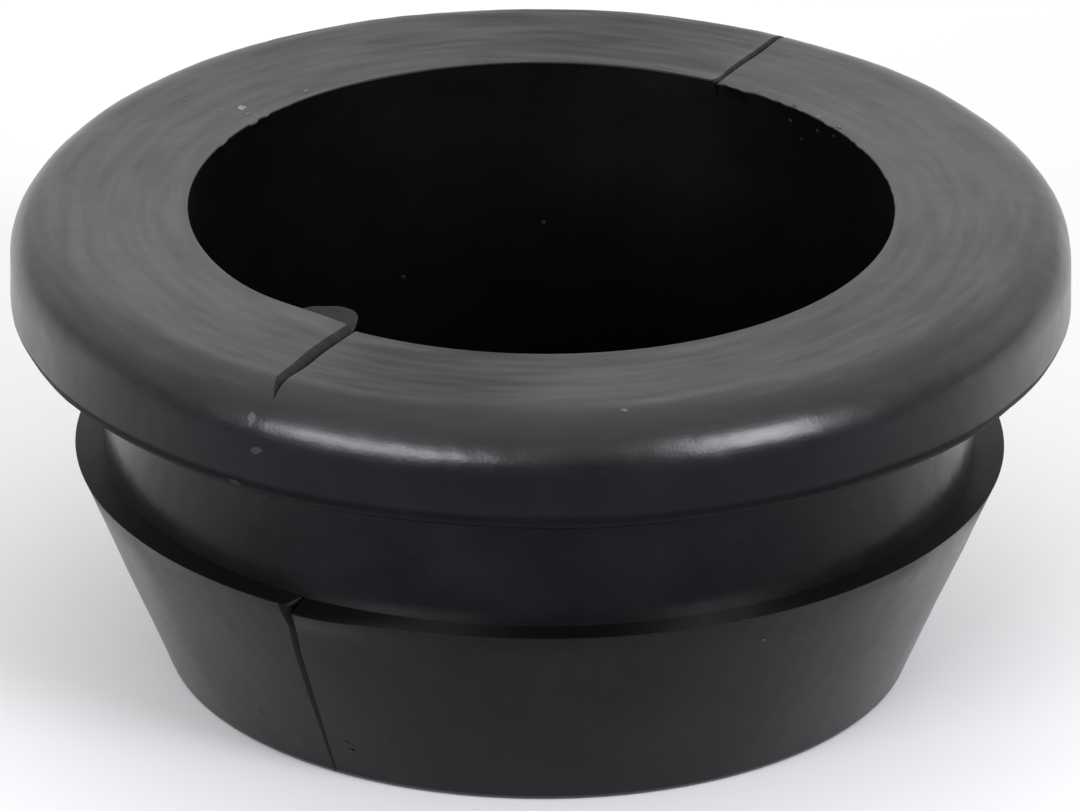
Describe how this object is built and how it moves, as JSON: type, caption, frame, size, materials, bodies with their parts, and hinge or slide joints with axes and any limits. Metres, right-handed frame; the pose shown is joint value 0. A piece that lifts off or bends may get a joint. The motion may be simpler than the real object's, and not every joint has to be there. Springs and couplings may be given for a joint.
{
  "type": "split rubber grommet",
  "caption": "Flanged rubber ring in mating halves, with a panel groove and a tapered skirt, that lines a panel hole round a cable or hose.",
  "frame": {"origin": "centre of the foot, on the bore axis, in the plane that the foot stands on", "axes": "+Z along the bore from the foot to the flange; the halves part on the YZ plane, with right_half at +X"},
  "size_m": [0.077, 0.077, 0.0348],
  "materials": {
    "black_rubber": "moulded black rubber, dull satin"
  },
  "bodies": {
    "root": {"left_half": "black_rubber", "right_half": "black_rubber"}
  },
  "joints": []
}
